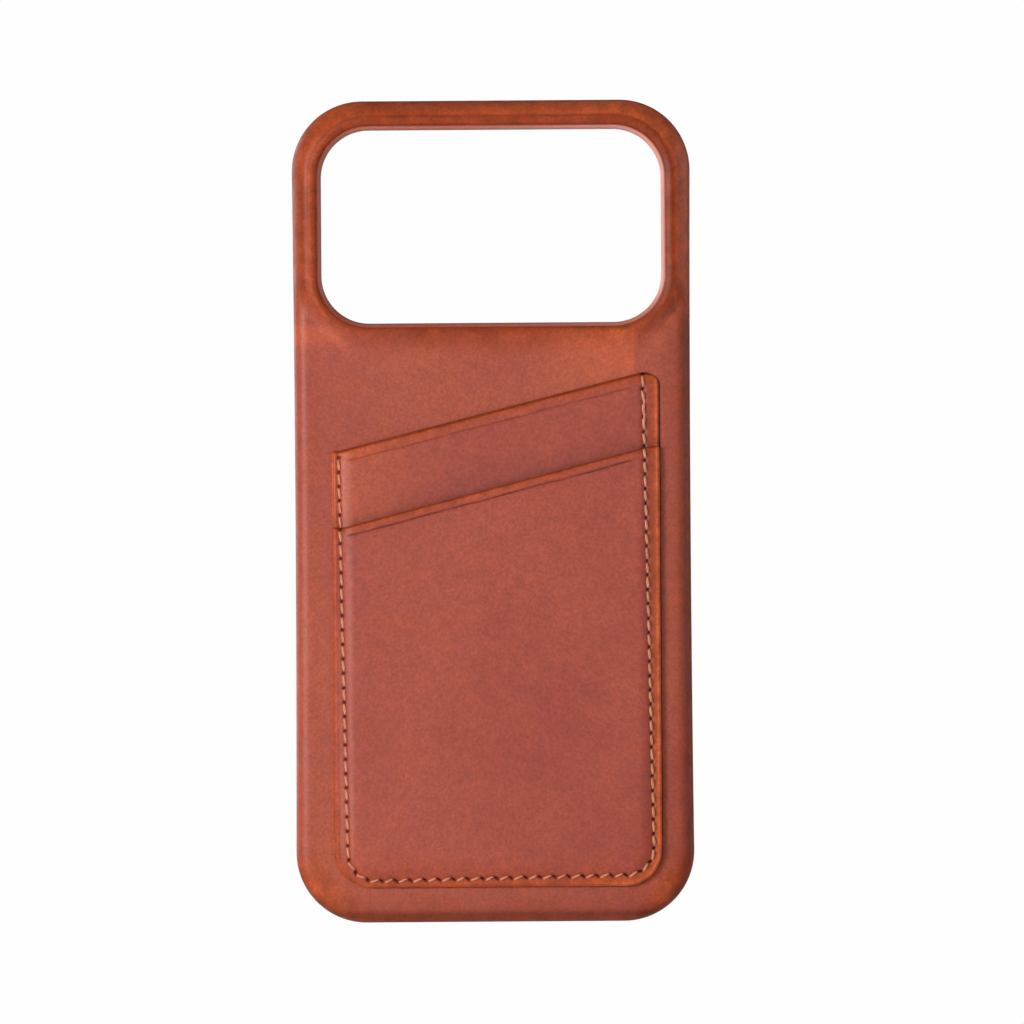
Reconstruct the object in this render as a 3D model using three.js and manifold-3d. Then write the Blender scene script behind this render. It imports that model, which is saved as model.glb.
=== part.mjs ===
// A leather phone case with a two-slot card wallet sewn to its back.
// Millimetres, +Z up towards the camera end, -Y is the outer back with the card pockets, +Y the screen
// side. The origin is the middle of the lining face that the phone's back rests on.

import * as THREE from 'three';
import { mergeVertices } from 'three/addons/utils/BufferGeometryUtils.js';
import Module from 'manifold-3d';

// ---------------------------------------------------------------- driving dimensions

const PHONE = { halfWidth: 39.0, halfHeight: 81.7, thickness: 8.75, cornerRadius: 12.5 };
const BAY_CLEARANCE = 0.1;
const GLUE = 0.1;                 // glue line between two layers
const LINING = 0.4;               // microfibre sheet under the phone
const SHELL = { back: 1.0, side: 0.8, end: 1.4, lip: 0.6 };
const LEATHER = { back: 0.9, side: 0.7, lip: 0.55 };
const LIP_OVERHANG = 0.9;         // how far the lip reaches over the glass
const BACK_ROUND = 3.0;           // rolled edge between back and sides, on the leather
const LIP_ROUND = 0.7;            // on the leather; the layers under it are rounded less
const SHELL_LIP_ROUND = 0.2;
const UNDER_LIP_ROUND = 0.3;
const BAY_ROUND = 1.4;
const LINING_MARGIN = 1.2;        // lining stops this far inside the bay

// Camera window, measured on the finished leather edge.
const WINDOW = { halfWidth: 34.7, halfHeight: 19.72, z: 58.18, cornerRadius: 9.8 };
const RIM = { width: 2.6, top: -4.3, round: 1.2, leather: 0.8, ridge: 1.8 };
const RIM_SHOULDER = { width: 4.4, top: -3.3, round: 0.6 };   // low step between the rim and the back

// Card pockets: both panels share their sides and bottom.
const POCKET = { left: -32.5, right: 33.9, bottom: -76.45, cornerRadius: 7.2 };
const REAR_EDGE = { left: 12.2, leftShoulder: 1.3, right: 28.0, rightShoulder: 3.7, cornerRadius: 1.6 };
const FRONT_EDGE = { left: -3.3, leftShoulder: 2.05, right: 13.0, rightShoulder: 2.4, cornerRadius: 0.4 };
const SHOULDER_DROP = 0.3;        // the slanted edge meets the right shoulder this far below it
const POCKET_LEATHER = 0.7;
const POCKET_LINING = 0.2;
const SLOT_GAP = 0.3;             // an empty slot, before a card spreads it
const HEM = 3.0;                  // turned and glued border of a panel
const HEM_TO_LINING = 0.3;
const PANEL_ROUND = 0.175;
const LINING_DROP = 1;            // the lining stops this far below its panel's top edge
const SLOT_STAGGER = 15.3;        // the rear slot's floor stands this much higher
const FLOOR_CLEARANCE = 0.05;     // between the slot floor and the layers on each side

// Seam round the pockets: a U turned a little against the case.
const SEAM = { halfWidth: 31.2, bottom: -74.85, cornerRadius: 5.7, turn: THREE.MathUtils.degToRad(1.0) };
const SEAM_TOP = 60;              // the legs run past both top edges before they are trimmed
const SEAM_END = 0.6;             // thread stops this far below the rear top edge
const THREAD = { width: 0.6, proud: 0.15, depth: 0.3 };
const THREAD_GROOVE = { width: 0.9, clearance: 0.1 };
const STEP_CLEARANCE = 0.1;       // thread clears the front panel's top edge by this much
const STEP_LENGTH = 0.5;          // and comes down to the rear panel over this length

// Side keys; the phone's own keys lie behind them. Heights are along Z.
const KEY_Y = PHONE.thickness / 2;
const KEY_WIDTH = 2.6;
const KEY_GAP = 0.15;             // all round, in the leather and the shell
const KEY_BEVEL = 0.2;
const KEYS = [
  { name: 'action_key', side: 1, z: 48.0, length: 8.0 },
  { name: 'volume_up_key', side: 1, z: 35.7, length: 11.0 },
  { name: 'volume_down_key', side: 1, z: 22.0, length: 11.0 },
  { name: 'side_key', side: -1, z: 28.5, length: 18.0 },
];
const PAD = { inner: 39.30, outer: 39.46, bossOuter: 39.52, flange: 0.6, pocketSpare: 0.2, pocketGap: 0.04 };
const KEY_INNER = 39.62;

// Cut-outs through the walls.
const CAMERA_CONTROL = { z: -27.5, length: 24.4, width: 5.0 };
const PORT = { halfLength: 6.75, width: 6.4 };
const SPEAKER = { x: 17.5, length: 12.5, width: 2.6 };

const ARC_STEPS = 6;              // THREE makes two facets of each step on an arc
const ROUND_STEPS = 4;
const FAR = 200;                  // well past the whole case
const PAST = 1;                   // cutters run this far beyond what they cut

// ---------------------------------------------------------------- derived dimensions

const BAY = {
  halfWidth: PHONE.halfWidth + BAY_CLEARANCE,
  halfHeight: PHONE.halfHeight + BAY_CLEARANCE,
  radius: PHONE.cornerRadius + BAY_CLEARANCE,
  floor: -LINING - GLUE,
  front: PHONE.thickness + BAY_CLEARANCE,
};
const APERTURE = {
  halfWidth: PHONE.halfWidth - LIP_OVERHANG,
  halfHeight: PHONE.halfHeight - LIP_OVERHANG,
  radius: PHONE.cornerRadius - LIP_OVERHANG,
};
const SHELL_BACK = BAY.floor - SHELL.back;
const SHELL_FRONT = BAY.front + SHELL.lip;
const SHELL_OUT = {
  halfWidth: BAY.halfWidth + SHELL.side,
  halfHeight: BAY.halfHeight + SHELL.end,
  radius: 13.6,
};
const COVER_BACK = SHELL_BACK - GLUE - LEATHER.back;
const COVER_FRONT = SHELL_FRONT + GLUE + LEATHER.lip;
const SKIN = GLUE + LEATHER.side;                 // from the shell's outside to the leather's outside
const COVER_OUT_X = SHELL_OUT.halfWidth + SKIN;

// Pocket layers, from the back leather outwards; each value is a Y.
const REAR_LINING_Y = COVER_BACK - SLOT_GAP;
const REAR_PANEL_Y = REAR_LINING_Y - POCKET_LINING - GLUE;
const REAR_FACE_Y = REAR_PANEL_Y - POCKET_LEATHER;
const FRONT_LINING_Y = REAR_FACE_Y - SLOT_GAP;
const FRONT_PANEL_Y = FRONT_LINING_Y - POCKET_LINING - GLUE;
const FRONT_FACE_Y = FRONT_PANEL_Y - POCKET_LEATHER;

// ---------------------------------------------------------------- solids

const wasm = await Module();
wasm.setup();

/** A closed geometry as a solid that can be cut and joined. */
function solid(geometry) {
  const bare = geometry.clone();
  bare.deleteAttribute('normal');
  bare.deleteAttribute('uv');
  const merged = mergeVertices(bare, 1e-5);
  const index = merged.index.array;
  const triangles = [];
  for (let i = 0; i < index.length; i += 3) {
    const [a, b, c] = [index[i], index[i + 1], index[i + 2]];
    if (a !== b && b !== c && c !== a) triangles.push(a, b, c);
  }
  return new wasm.Manifold(new wasm.Mesh({
    numProp: 3,
    vertProperties: new Float32Array(merged.attributes.position.array),
    triVerts: new Uint32Array(triangles),
  }));
}

/** Such a solid as a geometry again. */
function geometryOf(body) {
  const mesh = body.getMesh();
  const geometry = new THREE.BufferGeometry();
  geometry.setAttribute('position', new THREE.BufferAttribute(mesh.vertProperties, 3));
  geometry.setIndex(new THREE.BufferAttribute(mesh.triVerts, 1));
  geometry.computeVertexNormals();
  return geometry;
}

/** Extrudes a shape by a depth, with both ends rounded by bevel, from local z 0 to depth. */
function extruded(shape, depth, bevel) {
  const geometry = new THREE.ExtrudeGeometry(shape, {
    depth: depth - 2 * bevel,
    bevelEnabled: bevel > 0,
    bevelThickness: bevel,
    bevelSize: bevel,
    bevelOffset: -bevel,
    bevelSegments: ROUND_STEPS,
    curveSegments: ARC_STEPS,
  });
  geometry.translate(0, 0, bevel);
  return geometry;
}

/** A shape drawn in X and Z, standing between two Y values. */
function slab(shape, back, front, bevel = 0) {
  const geometry = extruded(shape, front - back, bevel);
  geometry.rotateX(Math.PI / 2);
  geometry.translate(0, front, 0);
  return solid(geometry);
}

/** A rounded rectangle in X and Z. */
function roundedRect(halfWidth, halfHeight, radius, z = 0) {
  const x = halfWidth - radius;
  const y = halfHeight - radius;
  const shape = new THREE.Shape();
  shape.absarc(x, z + y, radius, 0, Math.PI / 2);
  shape.absarc(-x, z + y, radius, Math.PI / 2, Math.PI);
  shape.absarc(-x, z - y, radius, Math.PI, 1.5 * Math.PI);
  shape.absarc(x, z - y, radius, 1.5 * Math.PI, 2 * Math.PI);
  return shape;
}

/** A slot with round ends, its length along local x. */
function pill(length, width) {
  const half = length / 2 - width / 2;
  const shape = new THREE.Shape();
  shape.absarc(half, 0, width / 2, -Math.PI / 2, Math.PI / 2);
  shape.absarc(-half, 0, width / 2, Math.PI / 2, 1.5 * Math.PI);
  return shape;
}

/** A pill through a side wall, between two distances from the middle plane. */
function sidePill(side, z, length, width, near, far, bevel = 0) {
  const geometry = extruded(pill(length, width), far - near, bevel);
  geometry.rotateY(Math.PI / 2);
  geometry.translate(side > 0 ? near : -far, KEY_Y, z);
  return solid(geometry);
}

/** A pill through the bottom wall. */
function bottomPill(x, length, width) {
  const geometry = extruded(pill(length, width), FAR, 0);
  geometry.translate(x, KEY_Y, PAST - BAY.halfHeight - FAR);
  return solid(geometry);
}

// ---------------------------------------------------------------- case outlines

/** The case's outer form grown or shrunk: one rounding at the back and another at the front. */
function caseForm(grow, back, front, backRound, frontRound) {
  const { halfWidth, halfHeight, radius } = SHELL_OUT;
  const outline = roundedRect(halfWidth + grow, halfHeight + grow, radius + grow);
  return slab(outline, back, FAR, backRound).intersect(slab(outline, -FAR, front, frontRound));
}

/** The camera window's outline, grown outwards. */
function windowOutline(grow) {
  return roundedRect(
    WINDOW.halfWidth + grow, WINDOW.halfHeight + grow, WINDOW.cornerRadius + grow, WINDOW.z);
}

function aperture() {
  return slab(roundedRect(APERTURE.halfWidth, APERTURE.halfHeight, APERTURE.radius), 0, FAR);
}

function phoneBay() {
  const outline = roundedRect(BAY.halfWidth, BAY.halfHeight, BAY.radius);
  return slab(outline, BAY.floor, FAR, BAY_ROUND).intersect(slab(outline, -FAR, BAY.front));
}

/** The low step round the rim, drawn in from its outside; it never passes the rolled outer edge. */
function rimShoulder(inset) {
  const top = RIM_SHOULDER.top + inset;
  const roll = BACK_ROUND + COVER_BACK - RIM_SHOULDER.top - inset;
  const step = slab(windowOutline(RIM_SHOULDER.width - inset), top, 0, RIM_SHOULDER.round);
  return step.intersect(caseForm(SKIN - inset, top, COVER_FRONT, roll, LIP_ROUND));
}

/** Everything cut through the walls of both the shell and the leather. */
function wallCutouts() {
  const reach = [BAY.halfWidth - PAST, COVER_OUT_X + PAST];
  let cuts = sidePill(-1, CAMERA_CONTROL.z, CAMERA_CONTROL.length, CAMERA_CONTROL.width, ...reach);
  cuts = cuts.add(bottomPill(0, 2 * PORT.halfLength, PORT.width));
  for (const side of [-1, 1]) cuts = cuts.add(bottomPill(side * SPEAKER.x, SPEAKER.length, SPEAKER.width));
  for (const key of KEYS) {
    cuts = cuts.add(sidePill(key.side, key.z, key.length + 2 * KEY_GAP, KEY_WIDTH + 2 * KEY_GAP, ...reach));
  }
  return cuts;
}

// ---------------------------------------------------------------- shell, leather and lining

/** Stiff tray that grips the phone, with a ridge round the camera window. */
function hardShell() {
  let body = caseForm(0, SHELL_BACK, SHELL_FRONT, BACK_ROUND - SKIN, SHELL_LIP_ROUND);
  const ridgeTop = RIM.top + RIM.leather + GLUE;
  body = body.add(slab(windowOutline(RIM.ridge), ridgeTop, PAST, RIM.round / 2));
  body = body.add(rimShoulder(RIM.leather + GLUE));
  body = body.subtract(phoneBay()).subtract(aperture());
  body = body.subtract(slab(windowOutline(RIM.leather + GLUE), -FAR, PAST));
  body = body.subtract(wallCutouts());
  for (const key of KEYS) {
    const spare = 2 * (PAD.flange + PAD.pocketSpare);
    const near = BAY.halfWidth - PAST;
    const far = PAD.outer + PAD.pocketGap;
    body = body.subtract(sidePill(key.side, key.z, key.length + spare, KEY_WIDTH + spare, near, far));
  }
  return body;
}

/** One leather skin over the back, the sides, the lip and the camera rim, and into the window. */
function leatherCover() {
  let outside = caseForm(SKIN, COVER_BACK, COVER_FRONT, BACK_ROUND, LIP_ROUND);
  outside = outside.add(slab(windowOutline(RIM.width), RIM.top, 0, RIM.round));
  outside = outside.add(rimShoulder(0));
  const inner = { back: SHELL_BACK - GLUE, front: SHELL_FRONT + GLUE, round: BACK_ROUND - LEATHER.side };
  const ridge = slab(windowOutline(RIM.ridge + GLUE), RIM.top + RIM.leather, PAST, RIM.round / 2 + GLUE);
  let inside = caseForm(GLUE, inner.back, inner.front, inner.round, UNDER_LIP_ROUND);
  inside = inside.add(ridge).add(rimShoulder(RIM.leather));
  inside = inside.subtract(slab(windowOutline(RIM.leather), -FAR, BAY.floor));
  return outside
    .subtract(inside)
    .subtract(aperture())
    .subtract(slab(windowOutline(0), -FAR, PAST))
    .subtract(wallCutouts())
    .subtract(seamRibbon(THREAD_GROOVE.width, SHELL_BACK - GLUE - THREAD.depth, SHELL_BACK));
}

/** Microfibre sheet that the phone's back lies on. */
function backLining() {
  const sheet = roundedRect(
    BAY.halfWidth - LINING_MARGIN, BAY.halfHeight - LINING_MARGIN, BAY.radius - LINING_MARGIN);
  return slab(sheet, -LINING, 0).subtract(slab(windowOutline(RIM.leather + 2 * GLUE), -FAR, PAST));
}

// ---------------------------------------------------------------- card pockets

/** Outline of a pocket panel with a slanted top edge, inset from its sides and bottom. */
function panelOutline(edge, inset = 0, raise = 0) {
  const left = POCKET.left + inset;
  const right = POCKET.right - inset;
  const bottom = POCKET.bottom + inset;
  const radius = POCKET.cornerRadius - inset;
  const low = { x: POCKET.left + edge.leftShoulder, z: edge.left + raise };
  const high = { x: POCKET.right - edge.rightShoulder, z: edge.right - SHOULDER_DROP + raise };
  const topRight = edge.right + raise;
  const slope = (high.z - low.z) / (high.x - low.x);
  const slanted = (x) => low.z + slope * (x - low.x);
  const shape = new THREE.Shape();
  shape.absarc(left + radius, bottom + radius, radius, Math.PI, 1.5 * Math.PI);
  shape.absarc(right - radius, bottom + radius, radius, 1.5 * Math.PI, 2 * Math.PI);
  if (inset === 0) {
    shape.absarc(right - edge.cornerRadius, topRight - edge.cornerRadius, edge.cornerRadius, 0, Math.PI / 2);
    shape.lineTo(high.x, high.z);
    shape.lineTo(low.x, low.z);
    shape.lineTo(left, low.z);
  } else {
    shape.lineTo(right, slanted(right));
    shape.lineTo(left, slanted(left));
  }
  return shape;
}

/** A leather panel: a turned hem on three sides, a slot open at the top, and a groove for its stitches. */
function pocketPanel(edge, face, inside, under) {
  const sheet = slab(panelOutline(edge), face, under - GLUE, PANEL_ROUND);
  const slot = slab(panelOutline(edge, HEM, FAR), inside, under + PAST);
  return sheet.subtract(slot).subtract(threadGroove(face));
}

/** Thin lining on the inner face of a panel, within its hem. */
function pocketLining(edge, face) {
  return slab(panelOutline(edge, HEM + HEM_TO_LINING, -LINING_DROP), face - POCKET_LINING, face);
}

/** Strip that closes the foot of the rear slot, so that its card stands higher than the front one. */
function rearSlotFloor() {
  const inset = HEM + 2 * HEM_TO_LINING;
  const top = SEAM.bottom + SLOT_STAGGER;
  const back = REAR_LINING_Y + FLOOR_CLEARANCE;
  const strip = slab(panelOutline(REAR_EDGE, inset), back, COVER_BACK - FLOOR_CLEARANCE);
  const keep = new THREE.BoxGeometry(FAR, FAR, FAR).translate(0, 0, top - FAR / 2);
  return strip.intersect(solid(keep));
}

// ---------------------------------------------------------------- seam

/** A ribbon of one width that follows the seam's U, between two Y values. */
function seamRibbon(width, back, front) {
  const outer = SEAM.halfWidth + width / 2;
  const inner = SEAM.halfWidth - width / 2;
  const side = SEAM.halfWidth - SEAM.cornerRadius;
  const foot = SEAM.bottom + SEAM.cornerRadius;
  const shape = new THREE.Shape();
  shape.moveTo(-outer, SEAM_TOP);
  shape.lineTo(-outer, foot);
  shape.absarc(-side, foot, SEAM.cornerRadius + width / 2, Math.PI, 1.5 * Math.PI);
  shape.absarc(side, foot, SEAM.cornerRadius + width / 2, 1.5 * Math.PI, 2 * Math.PI);
  shape.lineTo(outer, SEAM_TOP);
  shape.lineTo(inner, SEAM_TOP);
  shape.absarc(side, foot, SEAM.cornerRadius - width / 2, 2 * Math.PI, 1.5 * Math.PI, true);
  shape.absarc(-side, foot, SEAM.cornerRadius - width / 2, 1.5 * Math.PI, Math.PI, true);
  shape.lineTo(-inner, SEAM_TOP);
  const ribbon = slab(shape, back, front);
  const turned = ribbon.rotate([0, -THREE.MathUtils.radToDeg(SEAM.turn), 0]);
  return turned.intersect(slab(panelOutline(REAR_EDGE, 0, -SEAM_END), -FAR, FAR));
}

/** Everything on or below a panel's top edge, moved up by raise. */
function belowEdge(edge, raise) {
  return slab(panelOutline(edge, 0, raise), -FAR, FAR);
}

/** Stitches on the outside: on the front panel low down, on the rear panel above its top edge. */
function needleThread() {
  const { width, proud, depth } = THREAD;
  const low = seamRibbon(width, FRONT_FACE_Y - proud, FRONT_FACE_Y - proud + depth);
  const high = seamRibbon(width, REAR_FACE_Y - proud, REAR_FACE_Y - proud + depth);
  const step = seamRibbon(width, FRONT_FACE_Y - proud, REAR_FACE_Y - proud + depth);
  const clear = belowEdge(FRONT_EDGE, STEP_CLEARANCE);
  const join = belowEdge(FRONT_EDGE, STEP_CLEARANCE + STEP_LENGTH);
  return low.intersect(join).add(high.subtract(clear)).add(step.intersect(join).subtract(clear));
}

function threadGroove(face) {
  const floor = face - THREAD.proud + THREAD.depth + THREAD_GROOVE.clearance;
  return seamRibbon(THREAD_GROOVE.width, face - PAST, floor);
}

/** The under thread of the seam, hidden between the leather and the shell. */
function bobbinThread() {
  const foot = SHELL_BACK - GLUE;
  return seamRibbon(THREAD.width, foot - THREAD.depth + THREAD_GROOVE.clearance, foot);
}

// ---------------------------------------------------------------- keys

/** A metal key cap, level with the leather. */
function keyCap(key) {
  return sidePill(key.side, key.z, key.length, KEY_WIDTH, KEY_INNER, COVER_OUT_X, KEY_BEVEL);
}

/** The rubber pad behind a key, which presses the phone's own key. */
function keyPad(key) {
  const spare = 2 * PAD.flange;
  const flange = sidePill(key.side, key.z, key.length + spare, KEY_WIDTH + spare, PAD.inner, PAD.outer);
  return flange.add(sidePill(key.side, key.z, key.length, KEY_WIDTH, PAD.inner, PAD.bossOuter));
}

// ---------------------------------------------------------------- the assembly

const LOOKS = {
  leather: { color: 0x9e4b36, roughness: 0.55, metalness: 0 },
  shell: { color: 0x4a2c22, roughness: 0.45, metalness: 0 },
  lining: { color: 0x7d5646, roughness: 0.95, metalness: 0 },
  thread: { color: 0xc98a64, roughness: 0.7, metalness: 0 },
  metal: { color: 0x8c5f4a, roughness: 0.35, metalness: 1 },
  rubber: { color: 0x3a2620, roughness: 0.8, metalness: 0 },
};

const phoneWalletCase = new THREE.Group();

function addPiece(name, body, look) {
  const mesh = new THREE.Mesh(geometryOf(body), new THREE.MeshStandardMaterial(LOOKS[look]));
  mesh.name = name;
  phoneWalletCase.add(mesh);
}

addPiece('hard_shell', hardShell(), 'shell');
addPiece('leather_cover', leatherCover(), 'leather');
addPiece('back_lining', backLining(), 'lining');
addPiece('rear_pocket_lining', pocketLining(REAR_EDGE, REAR_LINING_Y), 'lining');
addPiece('rear_pocket_panel', pocketPanel(REAR_EDGE, REAR_FACE_Y, REAR_PANEL_Y, COVER_BACK), 'leather');
addPiece('front_pocket_lining', pocketLining(FRONT_EDGE, FRONT_LINING_Y), 'lining');
addPiece('front_pocket_panel', pocketPanel(FRONT_EDGE, FRONT_FACE_Y, FRONT_PANEL_Y, REAR_FACE_Y), 'leather');
addPiece('rear_slot_floor', rearSlotFloor(), 'lining');
addPiece('needle_thread', needleThread(), 'thread');
addPiece('bobbin_thread', bobbinThread(), 'thread');
for (const key of KEYS) {
  addPiece(key.name, keyCap(key), 'metal');
  addPiece(`${key.name}_pad`, keyPad(key), 'rubber');
}

export default phoneWalletCase;
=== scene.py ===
# %% [markdown]
# # A moulded leather phone case with a card wallet
# The case is one leather skin, pressed wet over a stiff tray. Two leather pockets are sewn to its back.
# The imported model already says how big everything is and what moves. This file only gives it looks.
# We load that model first and never move it.

# %% Load the frame
import math

import bmesh
import bpy
import mathutils
import numpy as np
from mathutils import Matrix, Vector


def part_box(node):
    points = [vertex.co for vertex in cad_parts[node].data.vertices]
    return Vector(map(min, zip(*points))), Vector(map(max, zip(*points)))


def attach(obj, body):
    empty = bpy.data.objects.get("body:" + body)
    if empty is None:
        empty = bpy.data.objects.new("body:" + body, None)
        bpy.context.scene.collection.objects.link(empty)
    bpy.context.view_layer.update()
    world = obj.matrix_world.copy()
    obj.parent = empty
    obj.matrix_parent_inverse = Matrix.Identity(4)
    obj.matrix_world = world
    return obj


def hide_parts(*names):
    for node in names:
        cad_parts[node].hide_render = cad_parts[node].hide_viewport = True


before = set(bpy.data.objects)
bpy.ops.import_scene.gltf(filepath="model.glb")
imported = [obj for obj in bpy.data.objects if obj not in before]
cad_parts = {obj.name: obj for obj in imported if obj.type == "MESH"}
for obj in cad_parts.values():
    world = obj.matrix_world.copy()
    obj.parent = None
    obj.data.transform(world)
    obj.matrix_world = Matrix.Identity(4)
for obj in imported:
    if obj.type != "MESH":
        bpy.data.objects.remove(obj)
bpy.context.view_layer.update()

MM = 0.001                                   # every size below is in millimetres
BODY = "case"

low, high = (np.array(corner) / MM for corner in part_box("leather_cover"))
CASE_X, CASE_Z = high[0], high[2]            # half width and half height of the case
RIM_Y, LIP_Y = low[1], high[1]               # top of the camera rim, top of the screen lip
print("case", CASE_X, CASE_Z, "rim", RIM_Y, "lip", LIP_Y)

# %% [markdown]
# ## Camera
# The view looks straight at the back from almost two metres. A long lens keeps the walls of the camera
# window nearly hidden, so the outline reads true. The case leans by less than half a degree, which we
# give to the camera, because the case itself stays upright in its frame.

# %% Camera
VIEW_DISTANCE = 1800.0
VIEW_WIDTH = 209.0                           # how much the lens takes in, at the back of the case
SENSOR = 36.0
LEAN = math.radians(0.40)
LOOK_AT = np.array([3.88, -2.5, -0.21])      # the case sits a little left of the middle

camera_data = bpy.data.cameras.new("camera")
camera_data.sensor_width = SENSOR
camera_data.lens = SENSOR * VIEW_DISTANCE / VIEW_WIDTH
camera_data.clip_start = 0.01
camera = bpy.data.objects.new("camera", camera_data)
camera.location = (LOOK_AT + np.array([0, -VIEW_DISTANCE, 0])) * MM
camera.rotation_euler = (math.pi / 2, LEAN, 0)
bpy.context.scene.collection.objects.link(camera)
bpy.context.scene.camera = camera
print("lens", round(camera_data.lens, 1))

# %% [markdown]
# ## Outlines as functions
# The case, the tray inside it, the screen opening and the camera window are all rounded rectangles.
# One function gives a point for every place `u` on such an outline, where each whole number of `u` is
# one stretch: right side, corner, top, corner, left side, corner, bottom, corner. Two outlines asked
# at matching places can then be joined ring to ring into one smooth skin.

# %% Rounded rectangle
def rounded_outline(u, half_x, half_z, radius, centre_z=0.0):
    """Points (x, z) at places u, anticlockwise from the foot of the right side.

    A side runs straight between two corner centres, moved out by the radius. A corner is the
    corner's centre plus the radius times the cosine and sine of an angle that grows evenly with u."""
    u = np.mod(u, 8.0)
    stretch = np.minimum(u.astype(int), 7)
    part = u - stretch
    a, b = half_x - radius, half_z - radius
    corner_x = np.array([a, a, -a, -a])
    corner_z = np.array([b, b, b, b]) * np.array([-1, 1, 1, -1])
    quarter = (stretch + 1) // 2                       # which corner a stretch starts from
    i = quarter % 4
    j = (i + 1) % 4
    straight = stretch % 2 == 0
    angle = np.where(straight, quarter, quarter - 1 + part) * (math.pi / 2)
    x = np.where(straight, corner_x[i] + (corner_x[j] - corner_x[i]) * part, corner_x[i])
    z = np.where(straight, corner_z[i] + (corner_z[j] - corner_z[i]) * part, corner_z[i])
    return np.stack([x + radius * np.cos(angle), z + radius * np.sin(angle) + centre_z], axis=1)


def spread(stops, counts):
    """Places from stop to stop, evenly spaced within each gap, without the last stop."""
    parts = [np.linspace(a, b, n, endpoint=False) for a, b, n in zip(stops[:-1], stops[1:], counts)]
    return np.concatenate(parts)


# %% [markdown]
# ## Matching places on the case and on the window
# The leather runs from the window's edge to the outer edge, so the two outlines need the same number of
# points. In the upper part they pair up side to side and corner to corner. Lower down, the long sides
# and the whole foot of the case fan out from the window's lower edge.

# %% Places round the case and round the window
SPLIT = 0.846                                # place on the side that is level with the window's corner
CASE_STOPS = [0, SPLIT, 1, 2, 3, 4, 5 - SPLIT, 5, 6, 7, 8]
WINDOW_STOPS = [-1.2, 0, 1, 2, 3, 4, 5, 6.2, 6.35, 6.65, 6.8]
SIDE_COUNTS = [120, 26, 30, 70, 30, 26, 120, 30, 76, 30]
U_CASE = spread(CASE_STOPS, SIDE_COUNTS)
U_WINDOW = np.interp(U_CASE, CASE_STOPS, WINDOW_STOPS)
print("points in a ring:", len(U_CASE))

CASE_RADIUS = 14.4
# Half sizes and corner radii: the camera window, the phone's bay, the opening in the lip and the tray.
WINDOW = dict(half_x=34.7, half_z=19.72, radius=9.8, centre_z=58.18)
BAY = dict(half_x=39.1, half_z=81.8, radius=12.6)
APERTURE = dict(half_x=38.1, half_z=80.8, radius=11.6)
SHELL = dict(half_x=39.9, half_z=83.2, radius=13.6)


def at_height(points, y):
    """Rows (x, z) lifted to (x, y, z)."""
    y = np.broadcast_to(y, len(points))
    return np.stack([points[:, 0], y, points[:, 1]], axis=1)


def grown(outline, by, u):
    """A rounded outline grown outwards by a distance, which moves its sides and its radius alike."""
    return rounded_outline(u, outline["half_x"] + by, outline["half_z"] + by,
                           outline["radius"] + by, outline.get("centre_z", 0.0))


CASE = dict(half_x=CASE_X, half_z=CASE_Z, radius=CASE_RADIUS)


def window_ring(by, y):
    """The window's outline grown by a distance, at one depth."""
    return at_height(grown(WINDOW, by, U_WINDOW), y)


def case_ring(inset, y, outline=CASE):
    """An outline of the case or of a part of its tray, moved in by a distance, at one depth."""
    return at_height(grown(outline, -inset, U_CASE), y)


# %% [markdown]
# ## Smooth profiles
# Leather that is pressed wet never has a sharp bend. A few points give each bend its place, and
# a smooth curve through them gives the rows between. A smooth step does the same for soft borders.

# %% Smooth profiles
def smooth_profile(points, count):
    """A Catmull-Rom curve through the points, sampled evenly along their chords.

    Each span is the cubic whose slope at a point is half the step between its two neighbours."""
    p = np.array(points, float)
    before = np.vstack([2 * p[0] - p[1], p[:-1]])
    after = np.vstack([p[1:], 2 * p[-1] - p[-2]])
    slope = (after - before) / 2
    chord = np.concatenate([[0], np.cumsum(np.linalg.norm(np.diff(p, axis=0), axis=1))])
    where = np.linspace(0, chord[-1], count)
    k = np.clip(np.searchsorted(chord, where, side="right") - 1, 0, len(p) - 2)
    t = ((where - chord[k]) / (chord[k + 1] - chord[k]))[:, None]
    h00, h10 = 2 * t**3 - 3 * t**2 + 1, t**3 - 2 * t**2 + t
    h01, h11 = -2 * t**3 + 3 * t**2, t**3 - t**2
    return h00 * p[k] + h10 * slope[k] + h01 * p[k + 1] + h11 * slope[k + 1]


def smoothstep(low, high, x):
    """0 below low, 1 above high, and 3t squared minus 2t cubed between them."""
    t = np.clip((x - low) / (high - low), 0, 1)
    return t * t * (3 - 2 * t)


# %% [markdown]
# ## From arrays to meshes
# Every new piece is a stack of rings: an array of shape (rings, points, 3). The faces are the same
# quads each time, so one helper turns any stack into a mesh and closes it into a loop or caps its ends
# with a pole. A second one stores masks on the vertices, such as the burnish, which says how far
# handling and pressing have changed a place. The finishes read these masks later.

# %% Mesh helpers
def grid_faces(rings, points, loop):
    """Quads between neighbouring rings; each ring closes on itself, and with loop the stack does too."""
    r = np.arange(rings if loop else rings - 1)[:, None]
    c = np.arange(points)[None, :]
    r1, c1 = (r + 1) % rings, (c + 1) % points
    quads = np.stack([r * points + c, r * points + c1, r1 * points + c1, r1 * points + c], axis=-1)
    return quads.reshape(-1, 4)


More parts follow.
